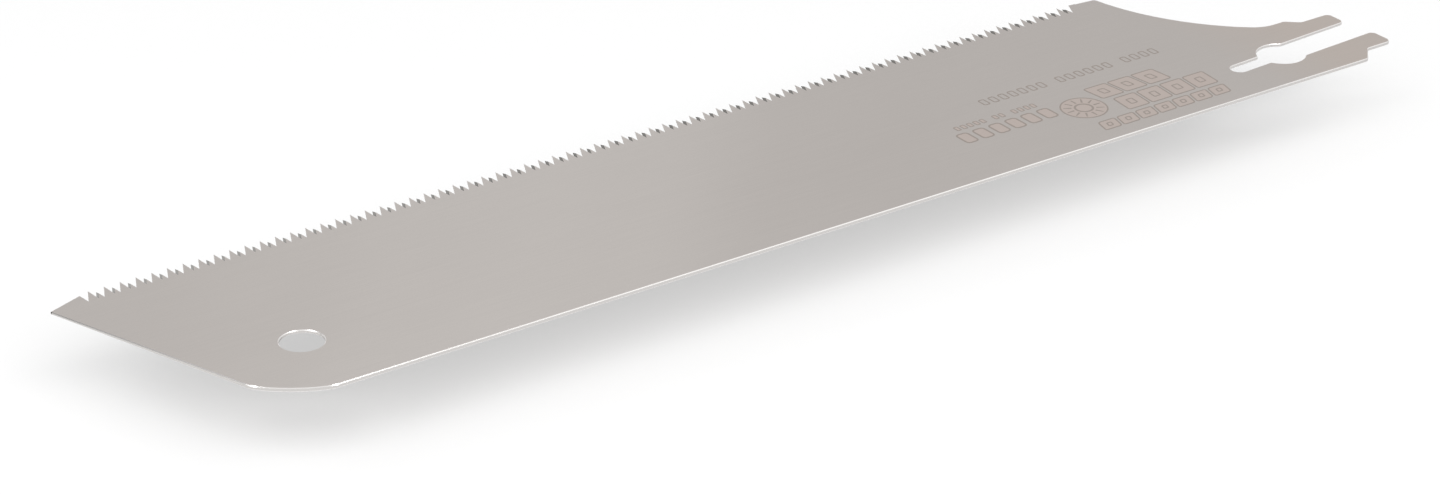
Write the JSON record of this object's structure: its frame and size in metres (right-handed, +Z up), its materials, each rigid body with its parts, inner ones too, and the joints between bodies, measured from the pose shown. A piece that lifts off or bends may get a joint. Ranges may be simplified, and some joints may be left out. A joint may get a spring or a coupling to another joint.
{
  "type": "pull saw blade",
  "caption": "Straight steel blade of a carpenter's pull saw, with alternately set pointed teeth, a sloping toe with a hanging hole and a forked slotted tang.",
  "frame": {"origin": "centre of the round seat in the tang, half way through the sheet", "axes": "+X from the toe to the tang along the spine, +Y from the spine to the teeth, +Z up, square to the sheet"},
  "size_m": [0.3048, 0.0614, 0.0008],
  "materials": {
    "blade_steel": "satin ground"
  },
  "bodies": {
    "root": {"saw_blade": "blade_steel"}
  },
  "joints": []
}
